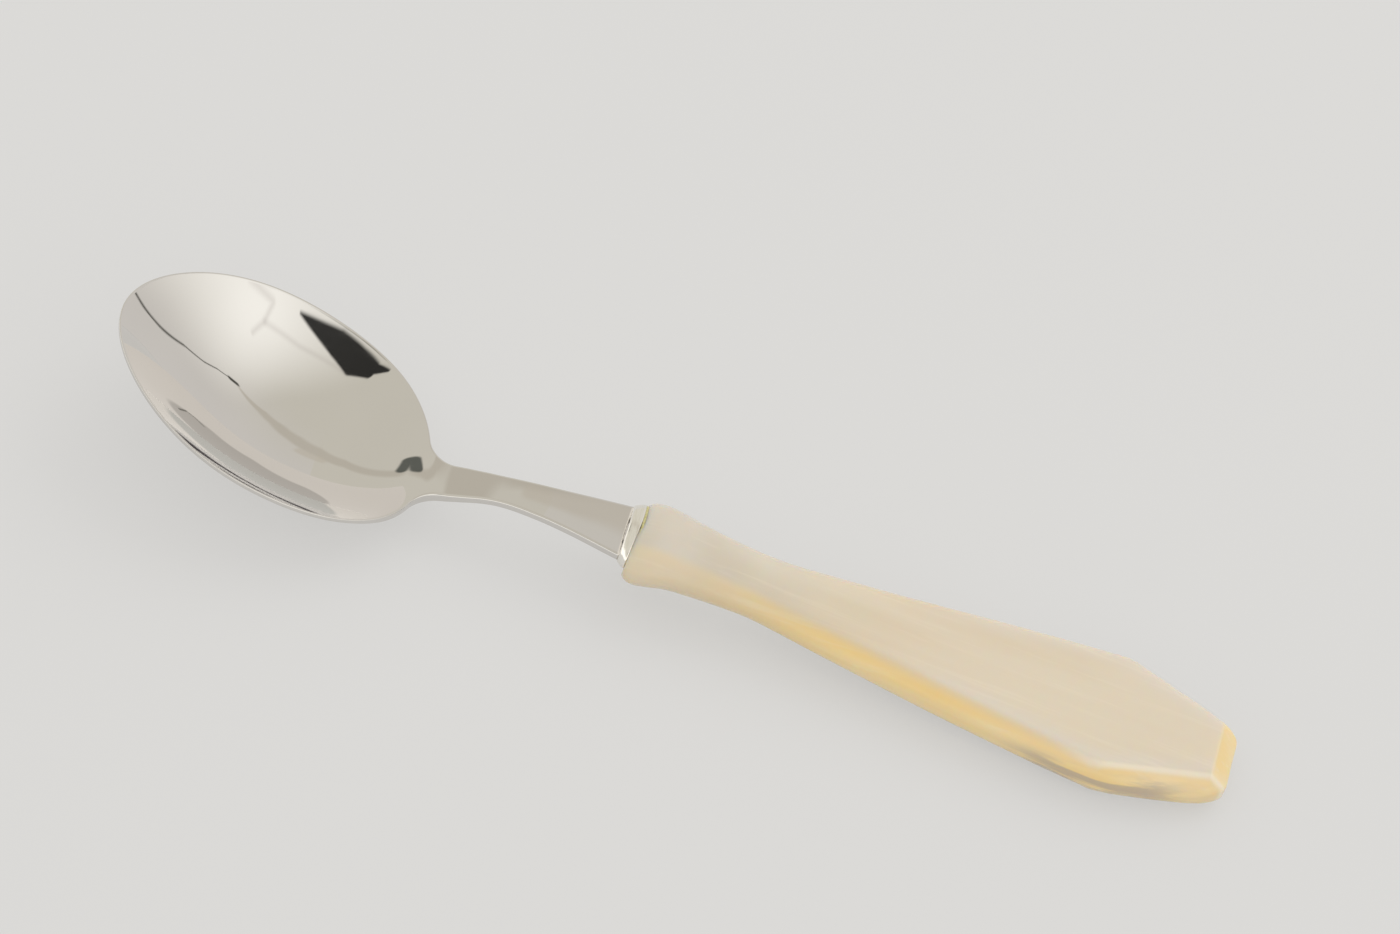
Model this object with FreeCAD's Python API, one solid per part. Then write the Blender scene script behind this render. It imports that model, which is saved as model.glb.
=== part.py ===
import FreeCAD, Part
import math
import os

# Coffee spoon: one stamped steel piece (bowl, neck, stem and tang), a steel collar,
# a pearl handle glued on the tang, and the cement in its bore. Sizes in mm, +Z up.
# +X runs from the tip of the bowl to the end of the handle.

V = FreeCAD.Vector

# overall
total_len = 136.5

# bowl, stations measured from its tip
widest_x = 20.0
neck_side = 18.7
bowl_half_w = 14.1
rim_tip_z = 16.0
rim_slope = -0.286
rim_sag = 0.93
rim_sag_len = 40.5
bowl_depth = 8.41
rim_flare = 0.12
bowl_wall = 1.387
rim_wall = 0.80
shoulder_r = 4.0

# stem
neck_half_w = 2.35
waist_half_w = 1.98
stem_mid_half_w = 2.34
stem_end_half_w = 3.75
stem_end_x = 62.1
stem_top_z = 7.95
stem_end_drop = 0.20
stem_t = 0.95

# collar: half width and half height of each end, height of its middle
collar_len = 1.40
collar_front = (3.95, 2.15)
collar_back = (4.50, 2.55)
collar_z = 7.20

# handle
joint_gap = 0.25
handle_t = 5.85
handle_half_w = 9.0
handle_rise = 1.10
foot_depth = 0.15
under_in = 0.35
side_bevel = 1.0
tail_len = 14.7
end_bevel = 2.3
end_top_half_w = 3.85

# tang and the bore that it is cemented in
tang_half_w = 1.45
tang_tip_half_w = 1.00
tang_t = 0.90
tang_len = 28.0
tang_fall = 0.075
bore_r = 1.7
bore_spare = 2.5

X0 = -total_len / 2.0


def hermite(knots, x):
    """Smooth curve through (x, z) knots with three-point tangents."""
    if x <= knots[0][0]:
        i = 0
    elif x >= knots[-1][0]:
        i = len(knots) - 2
    else:
        i = max(k for k in range(len(knots) - 1) if knots[k][0] <= x)

    def slope(k):
        if k == 0:
            return (knots[1][1] - knots[0][1]) / (knots[1][0] - knots[0][0])
        if k == len(knots) - 1:
            return (knots[k][1] - knots[k - 1][1]) / (knots[k][0] - knots[k - 1][0])
        h0 = knots[k][0] - knots[k - 1][0]
        h1 = knots[k + 1][0] - knots[k][0]
        d0 = (knots[k][1] - knots[k - 1][1]) / h0
        d1 = (knots[k + 1][1] - knots[k][1]) / h1
        return (d0 * h1 + d1 * h0) / (h0 + h1)

    xa, za = knots[i]
    xb, zb = knots[i + 1]
    h = xb - xa
    t = (x - xa) / h
    if t < 0.0:
        return za + slope(i) * (x - xa)
    if t > 1.0:
        return zb + slope(i + 1) * (x - xb)
    return ((2 * t ** 3 - 3 * t ** 2 + 1) * za + (t ** 3 - 2 * t ** 2 + t) * h * slope(i)
            + (3 * t ** 2 - 2 * t ** 3) * zb + (t ** 3 - t ** 2) * h * slope(i + 1))


def smoothstep(a, b, x):
    t = min(1.0, max(0.0, (x - a) / (b - a)))
    return t * t * (3 - 2 * t)


# Bowl, neck and stem
bowl_end = widest_x + neck_side


def lengthwise(x):
    """How far a station lies from the widest one: 0 there, 1 on the outline."""
    if x < widest_x:
        u = (widest_x - x) / widest_x
        return 0.96 * u ** 2 + 0.5 * u ** 3 - 0.46 * u ** 4
    u = (x - widest_x) / neck_side
    return 0.84 * u ** 2 - 0.3 * u ** 3 + 0.46 * u ** 4


def bowl_half(x):
    return bowl_half_w * math.sqrt(max(0.0, 1.0 - lengthwise(x)))


def rim_z(x):
    return rim_tip_z + rim_slope * x + rim_sag * (x / rim_sag_len) ** 2


SPINE = [(x, rim_z(x)) for x in (-2.0, 4.0, 10.0, 16.0, 22.0, 28.0, 33.0, 36.5)]
SPINE += [(bowl_end + 1.0, rim_z(bowl_end) - 0.12), (bowl_end + 4.5, stem_top_z - 1.49),
          (bowl_end + 6.7, stem_top_z - 0.83), (bowl_end + 9.5, stem_top_z - 0.28),
          (bowl_end + 13.3, stem_top_z), (stem_end_x - 6.1, stem_top_z + 0.02),
          (stem_end_x, stem_top_z - stem_end_drop)]


def dish(x, y, soft):
    """1 at the lowest point of the bowl, 0 on the rim, levelling out into the stem."""
    s = max(1.0 - lengthwise(x) - (y / bowl_half_w) ** 2, -2.0)
    s *= 1.0 - rim_flare + rim_flare * max(s, 0.0)
    m = smoothstep(bowl_end - 7.0, bowl_end + 3.0, x)
    levelled = 0.5 * (s + math.sqrt(s * s + soft * soft))
    return (1.0 - m) * s + m * levelled


def top_z(x, y):
    return hermite(SPINE, x) - bowl_depth * dish(x, y, 0.14)


def bottom_z(x, y):
    wall = rim_wall + (stem_t - rim_wall) * smoothstep(bowl_end - 6.0, bowl_end + 5.0, x)
    depth = bowl_depth + bowl_wall - rim_wall
    return hermite(SPINE, x) - wall - depth * dish(x, y, 0.30)


def height_face(f, nx, ny):
    x_lo, x_hi = -1.0, stem_end_x + 1.0
    y_hi = bowl_half_w + 1.0
    rows = []
    for i in range(nx + 1):
        x = x_lo + (x_hi - x_lo) * i / nx
        rows.append([V(X0 + x, y_hi * (2.0 * j / ny - 1.0), f(x, y_hi * (2.0 * j / ny - 1.0)))
                     for j in range(ny + 1)])
    surf = Part.BSplineSurface()
    surf.interpolate(rows)
    return surf.toShape()


def spline_edge(pts):
    c = Part.BSplineCurve()
    c.interpolate(pts)
    return c.toShape()


def bowl_plan():
    n = 14
    xs = [widest_x * (1 - math.cos(0.5 * math.pi * i / n)) for i in range(n)]
    xs += [widest_x + neck_side * math.sin(0.5 * math.pi * i / n) for i in range(n + 1)]
    side = [V(X0 + x, bowl_half(x), 0) for x in xs]
    side[-1] = V(X0 + bowl_end, 0, 0)
    mirror = [V(p.x, -p.y, 0) for p in side[1:-1]]
    ring = side + mirror[::-1]
    c = Part.BSplineCurve()
    c.interpolate(ring, True)
    return Part.Face(Part.Wire(c.toShape()))


def stem_plan():
    edge = [(bowl_end - 3.0, neck_half_w), (bowl_end + 2.5, neck_half_w),
            (bowl_end + 8.5, waist_half_w), (bowl_end + 13.5, stem_mid_half_w),
            (stem_end_x, stem_end_half_w)]
    a = [V(X0 + x, w, 0) for x, w in edge]
    b = [V(X0 + x, -w, 0) for x, w in edge]
    wire = Part.Wire([spline_edge(a), Part.makeLine(a[-1], b[-1]),
                      spline_edge(b[::-1]), Part.makeLine(b[0], a[0])])
    return Part.Face(wire)


plan = bowl_plan().fuse(stem_plan()).removeSplitter()
plan.translate(V(0, 0, -5))
prism = plan.extrude(V(0, 0, rim_tip_z + 15)).Solids[0]
inner_corners = [e for e in prism.Edges
                 if abs(e.Vertexes[0].X - e.Vertexes[-1].X) < 1e-4
                 and abs(e.Vertexes[0].Y - e.Vertexes[-1].Y) < 1e-4
                 and abs(abs(e.Vertexes[0].Y) - neck_half_w) < 0.3
                 and e.Vertexes[0].X - X0 < bowl_end + 0.5]
prism = prism.makeFillet(shoulder_r, inner_corners)

under_top = height_face(top_z, 84, 40).extrude(V(0, 0, -30))
under_bottom = height_face(bottom_z, 84, 40).extrude(V(0, 0, -30))

# everything rests on one level: a worn spot under the bowl, a short flat under the handle's end
below = Part.makeBox(total_len + 20, 60, 10, V(X0 - 10, -30, -10))
blank = prism.common(under_top).cut(under_bottom).cut(below)


def bar(x0, x1, z0, z1, w0, w1, t0, t1):
    """Straight tapering bar between two upright rectangles."""
    def rect(x, z, w, t):
        p = [V(X0 + x, -w, z - t / 2), V(X0 + x, w, z - t / 2),
             V(X0 + x, w, z + t / 2), V(X0 + x, -w, z + t / 2)]
        return Part.makePolygon(p + [p[0]])
    return Part.makeLoft([rect(x0, z0, w0, t0), rect(x1, z1, w1, t1)], True, True)


tang_x0 = stem_end_x - 0.6
tang_x1 = stem_end_x + tang_len


def tang_z(x):
    """Middle of the tang, which leaves the end of the stem in the middle of its thickness."""
    return stem_top_z - stem_end_drop - stem_t / 2 - tang_fall * (x - stem_end_x)


tang = bar(tang_x0, tang_x1, tang_z(tang_x0), tang_z(tang_x1),
           tang_half_w, tang_tip_half_w, tang_t, tang_t * 0.8)
spoon_blank = blank.fuse(tang).removeSplitter()


# Collar
def ellipse_wire(x, z, wy, wz):
    middle = V(X0 + x, 0, z)
    return Part.Wire(Part.Ellipse(middle + V(0, wy, 0), middle + V(0, 0, wz), middle).toShape())


cx0 = stem_end_x
cx1 = stem_end_x + collar_len
mid = 0.55
collar_body = Part.makeLoft([
    ellipse_wire(cx0, collar_z, collar_front[0], collar_front[1]),
    ellipse_wire(cx0 + 0.30 * collar_len, collar_z,
                 collar_front[0] + mid * (collar_back[0] - collar_front[0]),
                 collar_front[1] + mid * (collar_back[1] - collar_front[1])),
    ellipse_wire(cx1, collar_z, collar_back[0], collar_back[1])], True, True)
collar = collar_body.cut(spoon_blank)

# Handle
hx0 = cx1 + joint_gap
top_end_x = total_len - end_bevel

# rounded end by the collar: distance from its front, half width, half height, drop of its middle
BULB = [(0.0, 5.00, 2.92, 0.60), (0.5, 5.40, 3.24, 0.63), (1.4, 5.62, 3.42, 0.59),
        (2.6, 5.54, 3.38, 0.40), (4.4, 5.10, 3.22, 0.28), (7.2, 4.68, 3.12, 0.52),
        (10.6, 4.35, 3.00, 0.86), (14.6, 4.22, 2.92, 1.22)]

# the eight-sided section as shares of the ellipse round it, and its ridge's height in the bevels
facet_w = 0.94
facet_top = 0.53
facet_h = 0.848
ridge_share = 0.34

slab_x0 = hx0 + BULB[-1][0]
slab_half_w0 = facet_w * BULB[-1][1]
shoulder_x = total_len - tail_len
shoulder_top = handle_half_w - side_bevel

# stations of the faceted slab: share of its length, share of its widening,
# width of the bevel seen from above, share of its thickness, lift of its middle
OCT = [(0.084, 0.056, 1.50, 0.898, 0.34), (0.176, 0.161, 1.42, 0.940, 0.20),
       (0.314, 0.324, 1.44, 0.979, 0.06), (0.452, 0.491, 1.46, 1.0, 0.0),
       (0.728, 0.805, 1.48, 1.0, 0.0), (0.866, 0.936, 1.40, 1.0, 0.0),
       (0.958, 0.992, 1.20, 1.0, 0.0)]


def along(x):
    """Share of the slab's length, 0 behind the rounded end and 1 at the shoulder."""
    return (x - slab_x0) / (shoulder_x - slab_x0)


def top_plane(x):
    """Height of the flat top, from over the collar's middle down to the end."""
    end_z = handle_t - foot_depth
    return end_z + (collar_z + handle_rise - end_z) * (top_end_x - x) / (top_end_x - slab_x0)


def section(x, wr, wt, zc, h, bulge, spare=0.0):
    """Eight-sided section: top, bevel, side and lower bevel on each hand.

    spare carries the bevels past the flat faces, which are planed afterwards.
    """
    zr = ridge_share * h
    wu = wt - under_in * smoothstep(0.5, 1.0, along(x))
    wu -= spare * (wr - wu) / (h - zr)
    wt -= spare * (wr - wt) / (h - zr)
    h += spare
    pts = [(wt, h), (wr, zr), (wr, -zr), (wu, -h), (-wu, -h), (-wr, -zr), (-wr, zr), (-wt, h)]
    edges = []
    for k in range(8):
        y0, z0 = pts[k]
        y1, z1 = pts[(k + 1) % 8]
        my, mz = 0.5 * (y0 + y1), 0.5 * (z0 + z1)
        if bulge > 0.001:
            ang = math.atan2(mz / h, my / wr)
            ey, ez = wr / facet_w * math.cos(ang), h / facet_h * math.sin(ang)
            my += bulge * (ey - my)
            mz += bulge * (ez - mz)
            arc = Part.Arc(V(X0 + x, y0, zc + z0), V(X0 + x, my, zc + mz), V(X0 + x, y1, zc + z1))
            edges.append(arc.toShape())
        else:
            edges.append(Part.makeLine(V(X0 + x, y0, zc + z0), V(X0 + x, y1, zc + z1)))
    return Part.Wire(edges)


sections = []
for dx, wy, wz, drop in BULB:
    sections.append(section(hx0 + dx, facet_w * wy, facet_top * wy, collar_z - drop, facet_h * wz, 1.0))
h = handle_t / 2
for share, widening, bevel, thickness, lift in OCT:
    x = slab_x0 + share * (shoulder_x - slab_x0)
    wr = slab_half_w0 + widening * (handle_half_w - slab_half_w0)
    bulge = 0.75 * (1.0 - smoothstep(0.0, 0.59, share))
    spare = 0.2 * smoothstep(0.18, 0.45, share)
    sections.append(section(x, wr, wr - bevel, top_plane(x) - h + lift, thickness * h, bulge, spare))
sections.append(section(shoulder_x, handle_half_w, shoulder_top, top_plane(shoulder_x) - h, h, 0.0, 0.2))
front = Part.makeLoft(sections, True, False)

# beyond the shoulder the top face narrows in straight lines to its end:
# share of the tail's length, share of the full half width
TAIL = [(0.0, 1.0), (0.109, 0.984), (0.245, 0.931), (0.435, 0.844), (0.612, 0.756), (0.762, 0.669),
        (0.871, 0.583), (0.939, 0.506), (0.993, 0.411), (1.034, 0.306)]
taper = (shoulder_top - end_top_half_w) / (top_end_x - shoulder_x)
tail_sections = []
for share, width in TAIL:
    dx = share * tail_len
    wr = width * handle_half_w
    x = shoulder_x + dx
    wt = min(shoulder_top - taper * dx, 0.82 * wr if x > top_end_x - 0.5 else wr)
    tail_sections.append(section(x, wr, wt, top_plane(x) - h, h, 0.0, 0.2))
tail = Part.makeLoft(tail_sections, True, False)


def end_cut(side):
    """Wedge that bevels the end of the handle from above (1) or below (-1)."""
    zc = top_plane(top_end_x) - h
    zr = ridge_share * h
    a = (top_end_x, zc + side * h)
    b = (total_len, zc + side * zr)
    k = 3.0
    far = (b[0] + k * (b[0] - a[0]), b[1] + k * (b[1] - a[1]))
    near = (a[0] - k * (b[0] - a[0]), a[1] - k * (b[1] - a[1]))
    tri = [near, far, (far[0], near[1])]
    pts = [V(X0 + x, -12, z) for x, z in tri]
    return Part.Face(Part.makePolygon(pts + [pts[0]])).extrude(V(0, 24, 0))


def planing(side):
    """Block beyond the flat top (1) or the flat underside (-1) of the handle."""
    x0, x1 = slab_x0 + 0.05 * (shoulder_x - slab_x0), total_len + 4.0
    base = 0.0 if side > 0 else -handle_t
    za, zb = top_plane(x0) + base, top_plane(x1) + base
    pts = [V(X0 + x0, -14, za), V(X0 + x1, -14, zb),
           V(X0 + x1, -14, zb + side * 6), V(X0 + x0, -14, za + side * 6)]
    return Part.Face(Part.makePolygon(pts + [pts[0]])).extrude(V(0, 28, 0))


handle = front.fuse(tail).removeSplitter().cut(planing(1)).cut(planing(-1))
handle = handle.cut(end_cut(1)).cut(end_cut(-1))
handle = handle.cut(Part.makeBox(10, 30, 30, V(X0 + total_len, -15, -10)))
handle = handle.cut(below)

axis = V(1, 0, -tang_fall)
axis.normalize()
bore_mouth = V(X0 + hx0, 0, tang_z(hx0))
bore_len = tang_x1 + bore_spare - hx0
handle = handle.cut(Part.makeCylinder(bore_r, bore_len + 2, bore_mouth - axis * 2, axis))

# Cement in the bore, showing as a thin line in front of the handle
lip = Part.makeLoft([ellipse_wire(cx1, collar_z, collar_back[0] - 0.1, collar_back[1] - 0.1),
                     ellipse_wire(hx0, collar_z, collar_back[0] - 0.1, collar_back[1] - 0.1)], True, True)
plug = Part.makeCylinder(bore_r, bore_len, bore_mouth, axis)
front_trim = Part.makeBox(20, 30, 30, V(X0 + cx1 - 20, -15, -5))
cement = plug.fuse(lip).cut(front_trim).cut(spoon_blank)

nodes = {"spoon_blank": spoon_blank, "collar": collar, "handle": handle, "tang_cement": cement}
os.makedirs("parts", exist_ok=True)
for name, shape in nodes.items():
    shape.Solids[0].exportStep("parts/" + name + ".step")
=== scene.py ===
import math

import bmesh
import bpy
from mathutils import Matrix, Vector


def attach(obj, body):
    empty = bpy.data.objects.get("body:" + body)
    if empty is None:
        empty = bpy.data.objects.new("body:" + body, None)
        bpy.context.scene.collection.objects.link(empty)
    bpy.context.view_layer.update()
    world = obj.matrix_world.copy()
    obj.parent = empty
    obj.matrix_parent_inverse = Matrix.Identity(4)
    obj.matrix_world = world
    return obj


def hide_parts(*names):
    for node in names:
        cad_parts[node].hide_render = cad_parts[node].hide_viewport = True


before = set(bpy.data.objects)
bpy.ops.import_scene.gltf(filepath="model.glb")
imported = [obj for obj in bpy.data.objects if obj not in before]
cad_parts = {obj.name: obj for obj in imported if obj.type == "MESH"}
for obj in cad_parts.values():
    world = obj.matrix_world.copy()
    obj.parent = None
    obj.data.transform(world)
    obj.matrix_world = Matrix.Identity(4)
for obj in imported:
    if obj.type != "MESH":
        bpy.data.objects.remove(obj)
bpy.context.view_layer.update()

# The camera: a long lens that looks down on the spoon from its near side. It is turned
# about its own axis, so that the spoon runs across the picture from upper left to lower right.
elevation = math.radians(50.5)
azimuth = math.radians(-3.92)
turn = math.radians(22.26)
distance = 0.9267
aim = Vector((0.00014, 0.01874, 0.0))
sensor_width = 36.0
lens_px = 8000.0
picture_width_px = 1400.0
back = Vector((math.sin(azimuth) * math.cos(elevation),
               -math.cos(azimuth) * math.cos(elevation),
               math.sin(elevation)))
level = back.cross(Vector((0, 0, 1))).normalized() * -1
upward = back.cross(level)
across = level * math.cos(turn) + upward * math.sin(turn)
upright = upward * math.cos(turn) - level * math.sin(turn)
camera_data = bpy.data.cameras.new("camera")
camera_data.sensor_fit = "HORIZONTAL"
camera_data.sensor_width = sensor_width
camera_data.lens = sensor_width * lens_px / picture_width_px
camera_data.clip_start = 0.01
camera = bpy.data.objects.new("camera", camera_data)
bpy.context.collection.objects.link(camera)
stand = Matrix((across, upright, back)).transposed().to_4x4()
stand.translation = aim + back * distance
camera.matrix_world = stand
bpy.context.scene.camera = camera


# Spoon: bowl, neck, stem and hidden tang, stamped from one strip of stainless steel. The bowl
# is pressed deep, the edge is ground round and the whole is polished to a mirror.
# Lengths are in millimetres, and x counts from the tip of the bowl.
mm = 0.001
tip = -68.25
widest_x = 20.0
neck_side = 18.7
bowl_half_w = 14.1
bowl_depth = 8.41
rim_flare = 0.12
bowl_wall = 1.387
rim_wall = 0.80
shoulder_r = 4.0
bowl_end = widest_x + neck_side
stem_end_x = 62.1
stem_top = 7.95
stem_t = 0.95
stem_dish = 0.10
dish_from = 44.0
dish_full = 53.0


def smooth_ramp(a, b, x):
    t = min(1.0, max(0.0, (x - a) / (b - a)))
    return t * t * (3 - 2 * t)


def through(knots, x):
    """Value at x of a smooth curve through the (x, value) knots."""
    i = max([k for k in range(len(knots) - 1) if knots[k][0] <= x], default=0)

    def slope(k):
        if k == 0 or k == len(knots) - 1:
            a, b = (0, 1) if k == 0 else (k - 1, k)
            return (knots[b][1] - knots[a][1]) / (knots[b][0] - knots[a][0])
        h0 = knots[k][0] - knots[k - 1][0]
        h1 = knots[k + 1][0] - knots[k][0]
        d0 = (knots[k][1] - knots[k - 1][1]) / h0
        d1 = (knots[k + 1][1] - knots[k][1]) / h1
        return (d0 * h1 + d1 * h0) / (h0 + h1)

    (xa, za), (xb, zb) = knots[i], knots[i + 1]
    h = xb - xa
    t = (x - xa) / h
    if t < 0:
        return za + slope(i) * (x - xa)
    if t > 1:
        return zb + slope(i + 1) * (x - xb)
    return ((2 * t ** 3 - 3 * t ** 2 + 1) * za + (t ** 3 - 2 * t ** 2 + t) * h * slope(i)
            + (3 * t ** 2 - 2 * t ** 3) * zb + (t ** 3 - t ** 2) * h * slope(i + 1))


def rim_height(x):
    return 16.0 - 0.286 * x + 0.93 * (x / 40.5) ** 2


# heights of the rim, the neck and the stem's top along the middle of the spoon
spine = [(x, rim_height(x)) for x in (-2, 4, 10, 16, 22, 28, 33, 36.5)]
spine += [(bowl_end + 1.0, rim_height(bowl_end) - 0.12), (bowl_end + 4.5, stem_top - 1.49),
          (bowl_end + 6.7, stem_top - 0.83), (bowl_end + 9.5, stem_top - 0.28),
          (bowl_end + 13.3, stem_top), (stem_end_x - 6.1, stem_top + 0.02),
          (stem_end_x, stem_top - 0.20)]


def lengthwise(x):
    """How far the bowl has risen at x along its middle: 0 at its lowest point and 1 at its rim."""
    if x < widest_x:
        u = (widest_x - x) / widest_x
        return 0.96 * u ** 2 + 0.5 * u ** 3 - 0.46 * u ** 4
    u = (x - widest_x) / neck_side
    return 0.84 * u ** 2 - 0.3 * u ** 3 + 0.46 * u ** 4


def bowl_half(x):
    return bowl_half_w * math.sqrt(max(0.0, 1 - lengthwise(x)))


def pressed(x, y, soft):
    """1 at the lowest point of the bowl, 0 at its rim, levelling out into the stem."""
    s = max(1.0 - lengthwise(x) - (y / bowl_half_w) ** 2, -2.0)
    s *= 1 - rim_flare + rim_flare * max(s, 0.0)
    m = smooth_ramp(bowl_end - 7, bowl_end + 3, x)
    return (1 - m) * s + m * 0.5 * (s + math.sqrt(s * s + soft * soft))


def stem_half(x):
    return through([(bowl_end - 3.0, 2.35), (bowl_end + 2.5, 2.35), (bowl_end + 8.5, 1.98),
                    (bowl_end + 13.5, 2.34), (stem_end_x, 3.75)], x)


def inside_z(x, y):
    dish = 0.0
    if x > dish_from:
        dish = stem_dish * smooth_ramp(dish_from, dish_full, x) * max(0.0, 1 - (y / stem_half(x)) ** 2)
    return through(spine, x) - bowl_depth * pressed(x, y, 0.14) - dish


def outside_z(x, y):
    wall = rim_wall + (stem_t - rim_wall) * smooth_ramp(bowl_end - 6, bowl_end + 5, x)
    depth = bowl_depth + bowl_wall - rim_wall
    return max(0.0, through(spine, x) - wall - depth * pressed(x, y, 0.30))


def bowl_point(t):
    """Point of the bowl's outline, from its widest place (0) to where it would close (1)."""
    x = widest_x + neck_side * math.sin(math.pi / 2 * t)
    return Vector((x, bowl_half(x)))


def fillet_centre(t):
    step = bowl_point(t + 0.001) - bowl_point(t - 0.001)
    return bowl_point(t) + Vector((-step.y, step.x)).normalized() * shoulder_r


# the neck's fillet touches both the bowl and the edge of the stem
low, high = 0.5, 0.98
for halving in range(40):
    leave = (low + high) / 2
    centre = fillet_centre(leave)
    if centre.y - shoulder_r > stem_half(centre.x):
        low = leave
    else:
        high = leave
start = bowl_point(leave) - centre
start_angle = math.atan2(start.y, start.x)

# half of the outline from the tip round the bowl, through the neck's fillet and along the stem
bowl_steps = 90
fillet_steps = 16
stem_steps = 72
outline = []
for i in range(bowl_steps):
    x = widest_x * (1 - math.cos(math.pi / 2 * i / bowl_steps))
    outline.append((x, bowl_half(x)))
for i in range(bowl_steps + 1):
    outline.append(tuple(bowl_point(leave * i / bowl_steps)))
for i in range(1, fillet_steps):
    a = start_angle + (-math.pi / 2 - start_angle) * i / fillet_steps
    outline.append((centre.x + shoulder_r * math.cos(a), centre.y + shoulder_r * math.sin(a)))
for i in range(stem_steps + 1):
    x = centre.x + (stem_end_x - centre.x) * i / stem_steps
    outline.append((x, stem_half(x)))

# how far the edge is rounded: inwards and down from the top, inwards and up from the underside
round_top_in = 0.30
round_top_down = 0.34
round_under_in = 0.34
round_under_up = 0.22
across_top = 120
across_under = 60
round_steps = 6
side_steps = 2
round_trip = across_top + across_under + 4 * round_steps + 2 * side_steps


def bend(p, corner, q, t):
    """Point at share t of the curve from p to q that is drawn towards a corner."""
    return p * (1 - t) ** 2 + corner * 2 * t * (1 - t) + q * t ** 2


def round_section(i):
    """One closed trip round the blade at outline point i: top, edge, underside, edge."""
    x, y = outline[i]
    xa, ya = outline[max(0, i - 1)]
    xb, yb = outline[min(len(outline) - 1, i + 1)]
    out = Vector((-1.0, 0.0)) if i == 0 else Vector((ya - yb, xb - xa)).normalized()
    if i >= len(outline) - 1:
        out = Vector((0.0, 1.0))
    top_x, top_y = x - round_top_in * out.x, y - round_top_in * out.y
    under_x, under_y = x - round_under_in * out.x, y - round_under_in * out.y
    top_corner = Vector((x, y, inside_z(x, y)))
    under_corner = Vector((x, y, outside_z(x, y)))
    top_end = Vector((top_x, top_y, inside_z(top_x, top_y)))
    side_top = top_corner - Vector((0, 0, round_top_down))
    side_under = under_corner + Vector((0, 0, round_under_up))
    under_end = Vector((under_x, under_y, outside_z(under_x, under_y)))
    edge = [bend(top_end, top_corner, side_top, k / round_steps) for k in range(1, round_steps + 1)]
    edge += [side_top.lerp(side_under, k / side_steps) for k in range(1, side_steps + 1)]
    edge += [bend(side_under, under_corner, under_end, k / round_steps) for k in range(1, round_steps)]
    points = []
    for j in range(across_top + 1):
        t = -math.sin(math.pi / 2 * (1 - 2 * j / across_top))
        points.append(Vector((top_x, t * top_y, inside_z(top_x, t * top_y))))
    points += edge
    for j in range(across_under + 1):
        t = math.sin(math.pi / 2 * (1 - 2 * j / across_under))
        points.append(Vector((under_x, t * under_y, outside_z(under_x, t * under_y))))
    points += [Vector((v.x, -v.y, v.z)) for v in reversed(edge)]
    points.append(points[0].copy())
    return points


def placed(v):
    """A point of the spoon in the frame's own metres."""
    return Vector(((tip + v.x) * mm, v.y * mm, v.z * mm))


def fill_open_ends(bm):
    bmesh.ops.holes_fill(bm, edges=[e for e in bm.edges if e.is_boundary], sides=0)


def make_piece(name, bm, material, slot, *nodes):
    """The finished mesh as an object that rides on the root body in place of its solids."""
    bmesh.ops.recalc_face_normals(bm, faces=bm.faces)
    for face in bm.faces:
        face.smooth = len(face.verts) < 5
    mesh = bpy.data.meshes.new(name)
    bm.to_mesh(mesh)
    bm.free()
    mesh.materials.append(material)
    piece = bpy.data.objects.new(name, mesh)
    bpy.context.collection.objects.link(piece)
    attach(piece, "root")
    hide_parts(*nodes)


blade = bmesh.new()
bmesh.ops.create_grid(blade, x_segments=len(outline) - 1, y_segments=round_trip, size=1.0)
sections = [round_section(i) for i in range(len(outline))]
for v in blade.verts:
    i = round((v.co.x + 1) / 2 * (len(outline) - 1))
    j = round((v.co.y + 1) / 2 * round_trip)
    v.co = placed(sections[i][j])
bmesh.ops.remove_doubles(blade, verts=blade.verts, dist=2e-7)
fill_open_ends(blade)

# the tang behind the stem, a straight tapering bar with eased edges: x, half width, thickness, height
tang_near = (stem_end_x, 1.45, 0.90, 7.275)
tang_far = (stem_end_x + 28.0, 1.0, 0.72, 5.175)
tang_ease = 0.1
tang = bmesh.ops.create_cube(blade, size=1.0)["verts"]
for v in tang:
    x, half_w, thick, z = tang_far if v.co.x > 0 else tang_near
    v.co = placed(Vector((x, math.copysign(half_w, v.co.y), z + math.copysign(thick / 2, v.co.z))))
tang_edges = list({e for v in tang for e in v.link_edges})
bmesh.ops.bevel(blade, geom=tang_edges, offset=tang_ease * mm, offset_type="OFFSET", segments=2,
                profile=0.5, affect="EDGES", material=-1)


def new_finish(name):
    """A material, its node tree, its shader and the socket of its Object coordinates."""
    material = bpy.data.materials.new(name)
    material.use_nodes = True
    tree = material.node_tree
    where = tree.nodes.new("ShaderNodeTexCoord").outputs["Object"]
    return material, tree, tree.nodes["Principled BSDF"], where


def noise(tree, vector, scale, detail=3.0, rough=0.5):
    """Noise texture on a vector socket."""
    n = tree.nodes.new("ShaderNodeTexNoise")
    n.inputs["Scale"].default_value = scale
    n.inputs["Detail"].default_value = detail
    n.inputs["Roughness"].default_value = rough
    tree.links.new(vector, n.inputs["Vector"])
    return n.outputs["Fac"]


def remap(tree, value, a, b, c, d, smooth=False):
    """Value moved from the range a..b to c..d."""
    n = tree.nodes.new("ShaderNodeMapRange")
    if smooth:
        n.interpolation_type = "SMOOTHSTEP"
    for name, number in (("From Min", a), ("From Max", b), ("To Min", c), ("To Max", d)):
        n.inputs[name].default_value = number
    tree.links.new(value, n.inputs["Value"])
    return n.outputs["Result"]


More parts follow.
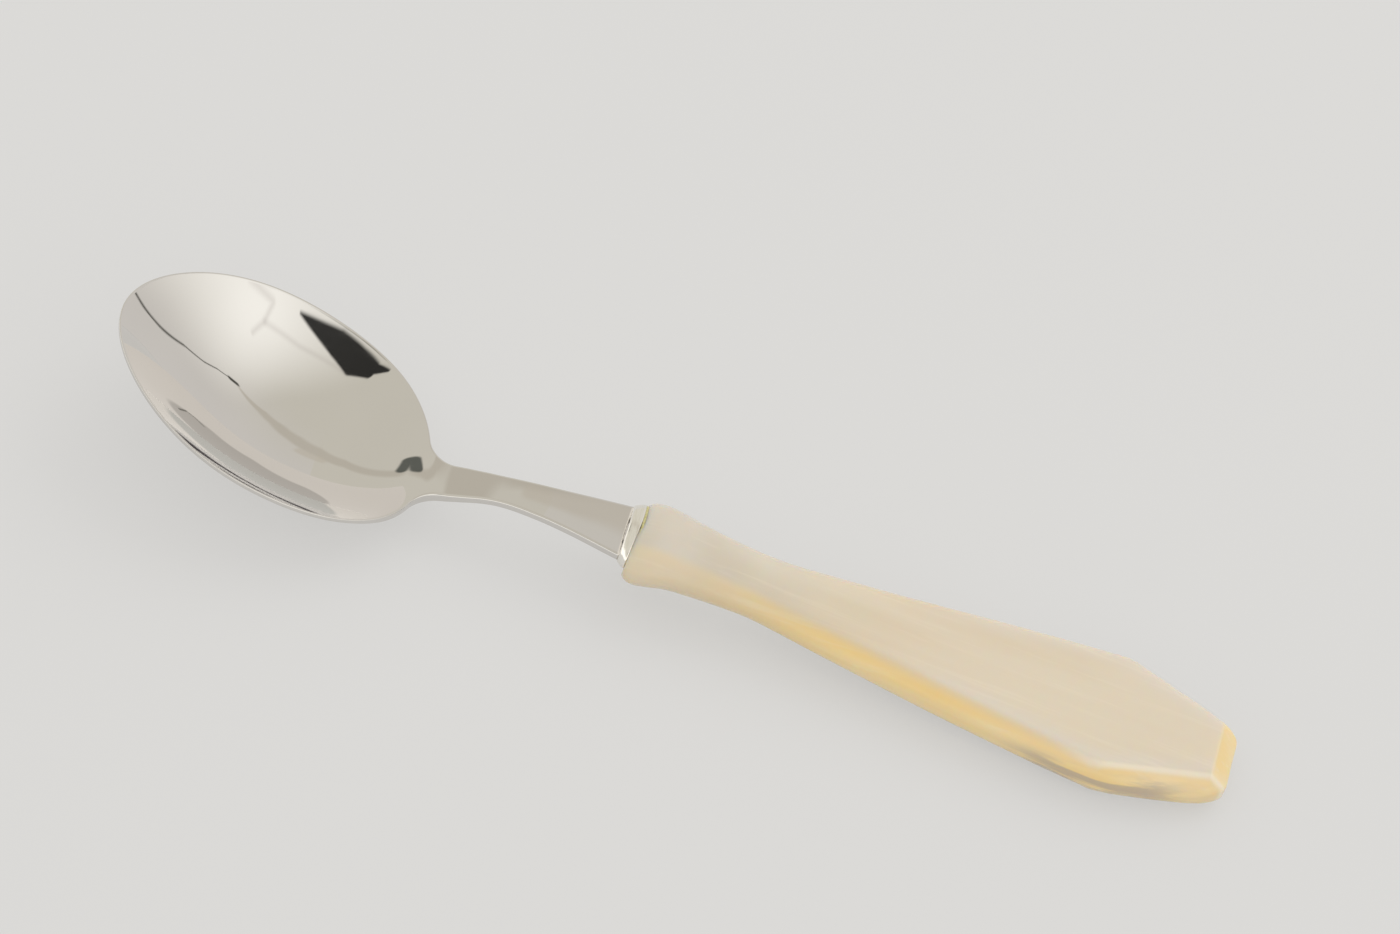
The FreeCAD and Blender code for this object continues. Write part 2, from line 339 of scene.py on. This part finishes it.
def blend(tree, share, one, two):
    """Colour between one and two; each is a socket or a plain colour."""
    n = tree.nodes.new("ShaderNodeMix")
    n.data_type = "RGBA"
    tree.links.new(share, n.inputs[0])
    for socket, value in ((n.inputs[6], one), (n.inputs[7], two)):
        if hasattr(value, "links"):
            tree.links.new(value, socket)
        else:
            socket.default_value = (*value, 1.0)
    return n.outputs[2]


def stretched(tree, vector, size, place=(0, 0, 0)):
    """Object coordinates scaled along the three axes, about a place."""
    n = tree.nodes.new("ShaderNodeMapping")
    n.inputs["Scale"].default_value = size
    n.inputs["Location"].default_value = [-s * p for s, p in zip(size, place)]
    tree.links.new(vector, n.inputs["Vector"])
    return n.outputs["Vector"]


steel, steel_tree, shader, where = new_finish("mirror polished steel")
shader.inputs["Metallic"].default_value = 1.0
cloudy = noise(steel_tree, where, 90.0, 2.0)
steel_colour = blend(steel_tree, remap(steel_tree, cloudy, 0.3, 0.7, 0.0, 1.0),
                     (0.71, 0.69, 0.66), (0.73, 0.71, 0.68))
steel_tree.links.new(steel_colour, shader.inputs["Base Color"])
wiped = noise(steel_tree, stretched(steel_tree, where, (300, 2200, 2200)), 1.0, 4.0)
steel_tree.links.new(remap(steel_tree, wiped, 0.3, 0.8, 0.012, 0.05), shader.inputs["Roughness"])
ripple = steel_tree.nodes.new("ShaderNodeBump")
ripple.inputs["Strength"].default_value = 0.05
ripple.inputs["Distance"].default_value = 0.00001
steel_tree.links.new(noise(steel_tree, where, 320.0, 1.0), ripple.inputs["Height"])
steel_tree.links.new(ripple.outputs["Normal"], shader.inputs["Normal"])
make_piece("spoon_body", blade, steel, "polished_steel", "spoon_blank")


# Collar: a thin flared ring of polished metal, slipped over the tang and pushed up against
# the widened end of the stem. It hides the joint and bears on the end of the handle.
collar_z = 7.20
collar_around = 96
hole = (1.65, 0.72)
shorter = 0.34
# x, half width, half height
collar_profile = [(62.10, *hole), (62.10, 3.72, 1.95), (62.13, 3.88, 2.08), (62.22, 3.98, 2.17),
                  (62.40, 4.08, 2.25), (62.70, 4.26, 2.39), (63.00, 4.38, 2.47),
                  (63.26, 4.46, 2.52), (63.42, 4.46, 2.52), (63.50, 4.38, 2.44), (63.50, *hole)]


def swept(bm, count, rings):
    """Tube through rings of points, each extruded from the ring before it."""
    start = bmesh.ops.create_circle(bm, segments=count, radius=1.0, cap_ends=False)["verts"]
    edges = list({e for v in start for e in v.link_edges})
    line = sorted(start, key=lambda v: math.atan2(v.co.y, v.co.x) % math.tau)
    for v, p in zip(line, rings[0]):
        v.co = placed(p)
    for ring in rings[1:]:
        grown = bmesh.ops.extrude_edge_only(bm, edges=edges)["geom"]
        edges = [g for g in grown if isinstance(g, bmesh.types.BMEdge)]
        fresh = {g for g in grown if isinstance(g, bmesh.types.BMVert)}
        line = [next(e.other_vert(v) for e in v.link_edges if e.other_vert(v) in fresh) for v in line]
        for v, p in zip(line, ring):
            v.co = placed(p)


def lean(y):
    """0 on the far side of the joint and 1 on the near side, where it was filed shorter."""
    return smooth_ramp(1.5, -4.5, y)


def collar_oval(x, half_w, half_h):
    shift = shorter * smooth_ramp(62.2, 63.4, x)
    ring = []
    for i in range(collar_around):
        a = math.tau * i / collar_around
        y = half_w * math.cos(a)
        ring.append(Vector((x - shift * lean(y), y, collar_z + half_h * math.sin(a))))
    return ring


ring_mesh = bmesh.new()
swept(ring_mesh, collar_around, [collar_oval(*place) for place in collar_profile])
bmesh.ops.bridge_loops(ring_mesh, edges=[e for e in ring_mesh.edges if e.is_boundary])

silver, silver_tree, shader, where = new_finish("polished collar metal")
shader.inputs["Metallic"].default_value = 1.0
turned = noise(silver_tree, stretched(silver_tree, where, (9000, 600, 600)), 1.0, 3.0)
silver_colour = blend(silver_tree, remap(silver_tree, turned, 0.35, 0.7, 0.0, 1.0),
                      (0.86, 0.83, 0.76), (0.92, 0.90, 0.85))
silver_tree.links.new(silver_colour, shader.inputs["Base Color"])
silver_tree.links.new(remap(silver_tree, turned, 0.3, 0.8, 0.14, 0.22), shader.inputs["Roughness"])
make_piece("collar_ring", ring_mesh, silver, "collar_metal", "collar")


# Handle: one piece of mother of pearl, sawn and ground to a flat eight-sided slab that widens
# to a shoulder and narrows to its end. Its front swells round behind the collar; it is polished.
front_x = 63.75
waist_x = 78.75
shoulder_x = 121.8
bevel_x = 134.2
end_x = 136.5
half_t = 2.925
drawn_half_t = 2.85
oval_w = 0.94
oval_h = 0.848
corner_r = 0.75
under_narrower = 0.35
bore_r = 1.7
bore_end_x = 92.6


def slab_top(x):
    return 5.70 + 0.04655 * (bevel_x - x)


# the rounded front: distance from the front, half width, half height, centre height
# shape: x, half width at the ridge, half width of the top, half height, centre height, roundness
shape = [(front_x + dx, oval_w * half_w, 0.53 * half_w, oval_h * half_h, zc, 1.0)
         for dx, half_w, half_h, zc in
         ((0.0, 5.00, 2.92, 6.60), (0.5, 5.40, 3.24, 6.57), (1.4, 5.62, 3.42, 6.61),
          (2.6, 5.54, 3.38, 6.80), (4.4, 5.10, 3.22, 6.92), (7.2, 4.68, 3.12, 6.68),
          (10.6, 4.35, 3.00, 6.34), (14.6, 4.22, 2.92, 5.98))]
# the slab up to its shoulder: x, half width at the ridge, half width of the top, half height, lift
for x, wr, wt, half_h, lift in ((82, 4.25, 2.75, 2.56, 0.34), (86, 4.78, 3.36, 2.68, 0.20),
                                (92, 5.60, 4.16, 2.79, 0.06), (98, 6.44, 4.98, 2.85, 0),
                                (104, 7.26, 5.78, 2.85, 0), (110, 8.02, 6.54, 2.85, 0),
                                (116, 8.68, 7.28, 2.85, 0), (120, 8.96, 7.76, 2.85, 0),
                                (shoulder_x, 9.0, 7.95, 2.85, 0)):
    shape.append((x, wr, wt, half_h * half_t / drawn_half_t, slab_top(x) - half_t + lift,
                  0.75 * (1 - smooth_ramp(79, 104, x))))
# the narrowing end: distance behind the shoulder, half width at the ridge
for dx, wr in ((1.6, 8.86), (3.6, 8.38), (6.4, 7.60), (9.0, 6.80), (11.2, 6.02), (12.8, 5.25),
               (13.8, 4.55), (14.6, 3.70), (15.2, 2.75)):
    x = shoulder_x + dx
    wt = min(8.0 - 0.3347 * dx, 0.82 * wr if x > bevel_x - 0.5 else wr)
    shape.append((x, wr, wt, half_t, slab_top(x) - half_t, 0.0))


def at(x, k):
    return through([(s[0], s[k]) for s in shape], x)


def eased(points, radius, steps, faces):
    """Closed polygon with its corners rounded and its sides divided."""
    ring = []
    n = len(points)

    def leave_corner(corner, towards):
        side = towards - corner
        return corner + side.normalized() * min(radius, 0.42 * side.length)

    for i, p in enumerate(points):
        after = points[(i + 1) % n]
        a = leave_corner(p, points[i - 1])
        b = leave_corner(p, after)
        c = leave_corner(after, p)
        ring += [bend(a, p, b, k / steps) for k in range(steps)]
        ring += [b.lerp(c, k / faces) for k in range(faces)]
    return ring


corner_steps = 6
face_steps = 8
around = 8 * (corner_steps + face_steps)


def slab_section(x, inset=0.0):
    """Ring of the handle at x, drawn in by the inset."""
    wr, wt, h, zc, bulge = (at(x, k) for k in (1, 2, 3, 4, 5))
    zr = 0.34 * h
    wu = wt - under_narrower * smooth_ramp(100, shoulder_x, x)
    cut = max(0.0, x - bevel_x) / (end_x - bevel_x)
    top = h - (h - zr) * cut
    side_top = wt + (0.96 * wr - wt) * cut
    side_under = wu + (0.96 * wr - wu) * cut
    ridge = zr * (1 - 0.25 * cut)
    corners = [(side_top, top), (wr, ridge), (wr, -ridge), (side_under, -top), (-side_under, -top),
               (-wr, -ridge), (-wr, ridge), (-side_top, top)]
    points = []
    for p in eased([Vector(c) for c in reversed(corners)], corner_r, corner_steps, face_steps):
        a = math.atan2(p.y / h, p.x / wr)
        oval_point = Vector((wr / oval_w * math.cos(a), h / oval_h * math.sin(a)))
        q = p.lerp(oval_point, max(0.0, min(1.0, bulge)))
        q = q * max(0.0, (q.length - inset) / q.length)
        forward = shorter * lean(q.x) + 0.25 * smooth_ramp(0.0, 0.35, lean(q.x))
        forward *= 1 - smooth_ramp(front_x, front_x + 6, x)
        points.append(Vector((x - forward, q.x, max(0.0, zc + q.y))))
    return points


def spread(a, b, count):
    """Even places from a to b, without a itself."""
    return [a + (b - a) * i / count for i in range(1, count + 1)]


front = slab_section(front_x)
front_z = sum(p.z for p in front) / len(front)


def bore_ring(x, z):
    """Ring of the tang's bore with its points at the same angles as the handle's front."""
    ring = []
    for p in front:
        a = math.atan2(p.z - front_z, p.y)
        ring.append(Vector((x, bore_r * math.cos(a), z + bore_r * math.sin(a))))
    return ring


rings = [bore_ring(bore_end_x, 4.99), bore_ring(front_x, 7.15)]
rings.append([Vector((p.x, p.y * 0.94, front_z + (p.z - front_z) * 0.92)) for p in front])
stations = [front_x + (waist_x - front_x) * (i / 44) ** 1.6 for i in range(45)]
stations += spread(waist_x, 120.0, 44) + spread(120.0, 133.4, 36) + spread(133.4, 136.1, 20)
rings += [slab_section(x) for x in stations]
rings += [slab_section(x, inset) for x, inset in ((136.28, 0.04), (136.42, 0.14), (136.49, 0.30),
                                                  (end_x, 0.50))]
pearl_mesh = bmesh.new()
swept(pearl_mesh, around, rings)
fill_open_ends(pearl_mesh)

pearl, pearl_tree, shader, where = new_finish("polished mother of pearl")
parts = pearl_tree.nodes.new("ShaderNodeSeparateXYZ")
pearl_tree.links.new(where, parts.inputs["Vector"])
lengthways, sideways, height = (parts.outputs[axis] for axis in "XYZ")


def calc(tree, what, *values):
    """Math node on sockets and numbers."""
    n = tree.nodes.new("ShaderNodeMath")
    n.operation = what
    for socket, value in zip(n.inputs, values):
        if hasattr(value, "links"):
            tree.links.new(value, socket)
        else:
            socket.default_value = value
    return n.outputs[0]


def product(tree, first, *others):
    """A socket multiplied with other sockets or numbers."""
    for other in others:
        first = calc(tree, "MULTIPLY", first, other)
    return first


def soft_step(value, a, b, low=0.0, high=1.0):
    """Soft step in the pearl, from low where the value is a to high where it is b."""
    return remap(pearl_tree, value, a, b, low, high, True)


def veiled(colour, share, veil):
    """The pearl's colour with another one over it."""
    return blend(pearl_tree, share, colour, veil)


# growth layers: long soft bands along the slab, fine lines inside them, cloudy patches, smoke
bands = noise(pearl_tree, stretched(pearl_tree, where, (24, 190, 240)), 1.0, 2.0)
lines = noise(pearl_tree, stretched(pearl_tree, where, (45, 1300, 800)), 1.0, 3.0, 0.6)
cloud = noise(pearl_tree, where, 70.0, 2.0)
smoke = noise(pearl_tree, stretched(pearl_tree, where, (70, 420, 900), (0.05, 0, 0)), 1.0, 3.0, 0.55)

# outward is how far a place lies beyond the edge of the flat top
top_half = calc(pearl_tree, "SUBTRACT",
                remap(pearl_tree, lengthways, 0.010, 0.052, 0.0026, 0.0080),
                remap(pearl_tree, lengthways, 0.0532, 0.0660, 0.0, 0.0041))
outward = calc(pearl_tree, "SUBTRACT", calc(pearl_tree, "ABSOLUTE", sideways), top_half)
# near_side is 1 on the near side and 0.05 on the far side; it keeps the painted glow and the painted
# highlight to the near side
near_side = soft_step(sideways, 0.001, -0.001, 0.05)
behind_front = soft_step(lengthways, 0.000, 0.024)

# the top is cream, paler along its edges, and greyer in front
cream = veiled((0.725, 0.632, 0.485), soft_step(bands, 0.35, 0.65), (0.700, 0.588, 0.425))
pale_edge = product(pearl_tree, soft_step(outward, -0.0030, -0.0004, 0.0, 0.7),
                    soft_step(lengthways, 0.022, 0.040))
cream = veiled(cream, pale_edge, (0.700, 0.640, 0.550))
grey_cream = veiled((0.680, 0.620, 0.525), soft_step(cloud, 0.35, 0.65), (0.620, 0.555, 0.450))
colour = veiled(grey_cream, behind_front, cream)

# the near flank and the end face are golden: partly the pearl's own tone, partly a painted glow of light
# shining through the translucent pearl, kept to the near side
golden_and_painted_glow = veiled((0.870, 0.650, 0.270), soft_step(bands, 0.35, 0.7), (0.870, 0.710, 0.410))
flank = product(pearl_tree, soft_step(outward, -0.0005, 0.0008), near_side)
end_face = product(pearl_tree, soft_step(lengthways, 0.0656, 0.0664), 0.85)
golden_and_glow_share = product(pearl_tree, calc(pearl_tree, "MAXIMUM", flank, end_face),
                       remap(pearl_tree, behind_front, 0.0, 1.0, 0.30, 0.95))
colour = veiled(colour, golden_and_glow_share, golden_and_painted_glow)
colour = veiled(colour, soft_step(lines, 0.52, 0.80, 0.0, 0.25), (0.86, 0.78, 0.64))

# grey-brown smoky layers low in the near flank, before and behind the shoulder
about_shoulder = product(pearl_tree, soft_step(lengthways, 0.040, 0.048),
                         soft_step(lengthways, 0.059, 0.065, 1.0, 0.15))
low_down = product(pearl_tree, soft_step(height, 0.0056, 0.0040), soft_step(sideways, -0.0030, -0.0050))
smoky = product(pearl_tree, about_shoulder, low_down, soft_step(smoke, 0.38, 0.58, 0.0, 0.80))
colour = veiled(colour, smoky, (0.50, 0.42, 0.33))

# a painted highlight along the edge between top and flank, near the shoulder and behind it, where the
# polished arris catches the light
painted_arris_highlight = product(pearl_tree, soft_step(outward, -0.0005, 0.0000),
                    soft_step(outward, 0.0001, 0.0006, 1.0, 0.0),
                    soft_step(lengthways, 0.046, 0.054, 0.0, 0.6), near_side)
colour = veiled(colour, painted_arris_highlight, (0.86, 0.80, 0.68))
pearl_tree.links.new(colour, shader.inputs["Base Color"])
for name, value in (("Roughness", 0.24), ("IOR", 1.53), ("Coat Weight", 0.15), ("Coat Roughness", 0.06),
                    ("Subsurface Weight", 0.60), ("Subsurface Radius", (1.0, 0.60, 0.28)),
                    ("Subsurface Scale", 0.0026)):
    shader.inputs[name].default_value = value
make_piece("pearl_handle", pearl_mesh, pearl, "pearl", "handle")


# Cement: fills the bore round the tang and shows as one thin dull line between the collar
# and the handle, yellowed with age. The solid itself is right, so it only gets its finish.
cement, cement_tree, shader, where = new_finish("yellowed cement")
crumbs = noise(cement_tree, where, 2500.0, 3.0)
cement_colour = blend(cement_tree, remap(cement_tree, crumbs, 0.35, 0.65, 0.0, 1.0),
                      (0.46, 0.42, 0.16), (0.66, 0.60, 0.32))
cement_tree.links.new(cement_colour, shader.inputs["Base Color"])
cement_tree.links.new(remap(cement_tree, crumbs, 0.3, 0.7, 0.45, 0.7), shader.inputs["Roughness"])
cement_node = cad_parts["tang_cement"]
cement_node.data.materials.clear()
cement_node.data.materials.append(cement)


# Table: a plain pale sheet under the spoon. Where the camera or the steel sees it, it glows by
# itself in part, so that the shadows on it stay faint.
table_size = 1.5
table_glow = 0.68
table_mesh = bmesh.new()
bmesh.ops.create_grid(table_mesh, x_segments=1, y_segments=1, size=table_size)
table_data = bpy.data.meshes.new("table")
table_mesh.to_mesh(table_data)
table_mesh.free()
table_top = bpy.data.objects.new("table", table_data)
bpy.context.collection.objects.link(table_top)


def mixed(tree, share, one, two):
    """Shader between one and two."""
    n = tree.nodes.new("ShaderNodeMixShader")
    for socket, value in zip(n.inputs, (share, one, two)):
        tree.links.new(value, socket)
    return n.outputs["Shader"]


table, table_tree, shader, where = new_finish("pale table")
mottle = noise(table_tree, where, 9.0, 2.0)
table_colour = blend(table_tree, remap(table_tree, mottle, 0.3, 0.7, 0.0, 1.0),
                     (0.698, 0.692, 0.676), (0.708, 0.700, 0.684))
table_tree.links.new(table_colour, shader.inputs["Base Color"])
shader.inputs["Roughness"].default_value = 0.9
shader.inputs["Specular IOR Level"].default_value = 0.1
own_glow = table_tree.nodes.new("ShaderNodeEmission")
own_glow.inputs["Color"].default_value = (0.706, 0.698, 0.682, 1.0)
rays = table_tree.nodes.new("ShaderNodeLightPath")
in_sight = calc(table_tree, "MAXIMUM", rays.outputs["Is Camera Ray"], rays.outputs["Is Glossy Ray"])
table_surface = mixed(table_tree, product(table_tree, in_sight, table_glow),
                      shader.outputs["BSDF"], own_glow.outputs["Emission"])
table_tree.links.new(table_surface, table_tree.nodes["Material Output"].inputs["Surface"])
table_data.materials.append(table)


# Lamp: one large round soft lamp above the far right, which throws the faint shadow on the near
# side. The steel doesn't show it, because the tent stands for all that the steel mirrors.
lamp_place = Vector((0.35, 0.60, 0.75))
lamp_data = bpy.data.lights.new("soft lamp", "AREA")
lamp_data.shape = "DISK"
lamp_data.size = 0.9
lamp_data.energy = 2.0
lamp = bpy.data.objects.new("soft lamp", lamp_data)
bpy.context.collection.objects.link(lamp)
lamp_turn = lamp_place.to_track_quat("Z", "Y").to_matrix().to_4x4()
lamp.matrix_world = Matrix.Translation(lamp_place) @ lamp_turn
lamp.visible_glossy = False


# Tent: white cloth round the table with one brighter wall, a fold, a seam and a dark opening,
# which only show as reflections in the steel. A stop in it is (round, height, radius) in degrees:
# round counts from the near side towards the handle's end, and height from the table.
degrees = 180.0 / math.pi
world = bpy.data.worlds.new("tent")
bpy.context.scene.world = world
world.use_nodes = True
tent = world.node_tree
direction = tent.nodes.new("ShaderNodeTexCoord").outputs["Generated"]
axes = tent.nodes.new("ShaderNodeSeparateXYZ")
tent.links.new(direction, axes.inputs["Vector"])
towards_end, towards_far, towards_top = (axes.outputs[axis] for axis in "XYZ")
height_angle = product(tent, calc(tent, "ARCSINE", towards_top), degrees)
round_angle = product(tent, calc(tent, "ARCTAN2", towards_end, product(tent, towards_far, -1.0)), degrees)
half_turned = product(tent, calc(tent, "ARCTAN2", product(tent, towards_end, -1.0), towards_far), degrees)
back_angle = calc(tent, "ADD", half_turned, 180.0)


def pair(angle):
    """A place in the tent, round and height, as one vector."""
    n = tent.nodes.new("ShaderNodeCombineXYZ")
    tent.links.new(angle, n.inputs["X"])
    tent.links.new(height_angle, n.inputs["Y"])
    return n.outputs["Vector"]


# the same places counted from -180 to 180 and from 0 to 360, for what lies at the near or far side
round_pair = pair(round_angle)
back_pair = pair(back_angle)


def vector_calc(what, *values, scale=None):
    """Vector Math node on sockets and vectors; gives the node."""
    n = tent.nodes.new("ShaderNodeVectorMath")
    n.operation = what
    for socket, value in zip(n.inputs, values):
        if hasattr(value, "links"):
            tent.links.new(value, socket)
        else:
            socket.default_value = value
    if scale is not None:
        tent.links.new(scale, n.inputs["Scale"])
    return n


def streak(a, b, soft, places):
    """1 inside a tapering streak of the tent between two stops, 0 outside it."""
    round_a, height_a, radius_a = a
    round_b, height_b, radius_b = b
    run = Vector((round_b - round_a, height_b - height_a, 0.0))
    from_a = vector_calc("SUBTRACT", places, (round_a, height_a, 0.0)).outputs["Vector"]
    share = vector_calc("DOT_PRODUCT", from_a, run / run.length_squared).outputs["Value"]
    share = calc(tent, "MINIMUM", calc(tent, "MAXIMUM", share, 0.0), 1.0)
    foot = vector_calc("SCALE", run, scale=share).outputs["Vector"]
    away = vector_calc("DISTANCE", from_a, foot).outputs["Value"]
    if radius_b != radius_a:
        away = calc(tent, "SUBTRACT", away, product(tent, share, radius_b - radius_a))
    return remap(tent, away, radius_a - soft, radius_a + soft, 1.0, 0.0, True)


def trail(stops, soft, places=round_pair):
    """Streaks from stop to stop, joined."""
    mask = streak(stops[0], stops[1], soft, places)
    for a, b in zip(stops[1:], stops[2:]):
        mask = calc(tent, "MAXIMUM", mask, streak(a, b, soft, places))
    return mask


def glow(centre, wide, tall):
    """Soft oval brightening of the tent about a (round, height) place."""
    u = calc(tent, "DIVIDE", calc(tent, "SUBTRACT", round_angle, centre[0]), wide)
    v = calc(tent, "DIVIDE", calc(tent, "SUBTRACT", height_angle, centre[1]), tall)
    away = calc(tent, "SQRT", calc(tent, "ADD", product(tent, u, u), product(tent, v, v)))
    return remap(tent, away, 0.0, 1.9, 1.0, 0.0, True)


def laid(seen, share, mask, colour):
    """The tent with a colour laid over it where the mask is 1."""
    return blend(tent, product(tent, mask, share), seen, colour)


# the cloth and its bright wall
seen = blend(tent, glow((140, 5), 70, 50), (0.715, 0.690, 0.620), (0.750, 0.728, 0.705))
seen = blend(tent, glow((50, 30), 42, 20), seen, (1.22, 1.21, 1.17))

# a brown fold that runs over the far side, and a paler one below it
fold_start = [(101, 43, 0.8), (112, 56, 4.0)]
fold = [(112, 56, 4.0), (125, 62, 5.0), (150, 65, 6.0), (182, 63, 6.5), (205, 54, 6.0), (227, 28, 4.0)]
fold_mask = calc(tent, "MAXIMUM", trail(fold_start, 1.5), trail(fold, 2.5, back_pair))
seen = laid(seen, 0.75, fold_mask, (0.580, 0.540, 0.470))
paler_fold = [(167, 54, 4.0), (184, 53.5, 4.0)]
seen = laid(seen, 0.60, trail(paler_fold, 2.0, back_pair), (0.640, 0.590, 0.510))

# two faint creases of the bright wall
creased = (0.55, 0.50, 0.48)
hooked_crease = [(53, 27, 0.6), (42, 32, 0.6), (49, 35, 0.6), (59, 36, 0.6)]
long_crease = [(49, 35, 0.7), (30, 43, 0.7), (3, 50.5, 0.7)]
seen = laid(seen, 0.32, trail(hooked_crease, 1.0), creased)
seen = laid(seen, 0.28, trail(long_crease, 1.2), creased)

# a dark seam with a knot at its upper end
seam = [(99, 41, 0.28), (100, 37, 0.28), (103, 31, 0.28), (108, 25, 0.28), (112, 18, 0.28),
        (118.3, 11.8, 0.28)]
knot = [(99, 41.5, 1.3), (100, 37.5, 1.2)]
seen = laid(seen, 0.95, trail(seam, 0.35), (0.06, 0.06, 0.05))
seen = laid(seen, 0.90, trail(knot, 0.6), (0.05, 0.05, 0.04))

# the dark opening on the near side, and a small dark patch far beyond the bowl's tip
opening = [(-10, 47.6, 2.8), (2, 46.3, 4.7), (12, 42, 3.6), (29, 35.2, 0.3)]
opening_tail = [(-20, 46.2, 0.4), (-10, 47.2, 2.0)]
opening_mask = calc(tent, "MAXIMUM", trail(opening, 0.6), trail(opening_tail, 0.4))
seen = laid(seen, 0.97, opening_mask, (0.015, 0.015, 0.015))
dark_patch = [(241, 33, 3.2), (231, 29, 3.2)]
seen = laid(seen, 0.92, trail(dark_patch, 1.2, back_pair), (0.09, 0.10, 0.09))

# a low bright panel on the near side, which only rounded edges mirror
low_panel = [(-120, 12, 12.0), (35, 8, 12.0)]
seen = laid(seen, 1.0, trail(low_panel, 4.0), (1.32, 1.30, 1.25))

# what the steel shows of itself: the tent seen by way of two walls of the bowl, then of more
lens = [(133, 31, 12.0), (150, 36, 15.0), (176, 37, 15.0)]
lens_line = [(125, 26, 0.35), (121, 32, 0.35), (122, 35, 0.35), (126, 37, 0.35)]
twice = laid((1.06, 1.03, 1.00), 1.0, trail(lens, 1.2, back_pair), (0.74, 0.72, 0.70))
twice = laid(twice, 0.85, trail(lens_line, 0.4), (0.12, 0.12, 0.10))
third_wall = [(125, 48, 17.0), (180, 46, 17.0)]
thrice = laid((1.38, 1.37, 1.36), 1.0, trail(third_wall, 1.5, back_pair), (1.00, 1.03, 1.04))
rim_line = [(130, 16, 18.0), (182, 27, 18.0)]
often = laid((1.30, 1.32, 1.36), 1.0, trail(rim_line, 2.0, back_pair), (0.16, 0.15, 0.17))

# each sight of the tent has its own background, chosen by how often the ray was mirrored
paths = tent.nodes.new("ShaderNodeLightPath")
glossy = paths.outputs["Is Glossy Ray"]
plain = blend(tent, paths.outputs["Is Camera Ray"], (0.90, 0.895, 0.885), (0.70, 0.69, 0.665))
background = tent.nodes["Background"]
tent.links.new(plain, background.inputs["Color"])
shown = background.outputs["Background"]
for least, sight in ((1, seen), (2, twice), (3, thrice), (4, often)):
    layer = tent.nodes.new("ShaderNodeBackground")
    tent.links.new(sight, layer.inputs["Color"])
    mirrored = calc(tent, "GREATER_THAN", paths.outputs["Glossy Depth"], least - 0.5)
    shown = mixed(tent, product(tent, mirrored, glossy), shown, layer.outputs["Background"])
tent.links.new(shown, tent.nodes["World Output"].inputs["Surface"])

bpy.context.scene.view_settings.view_transform = "Standard"
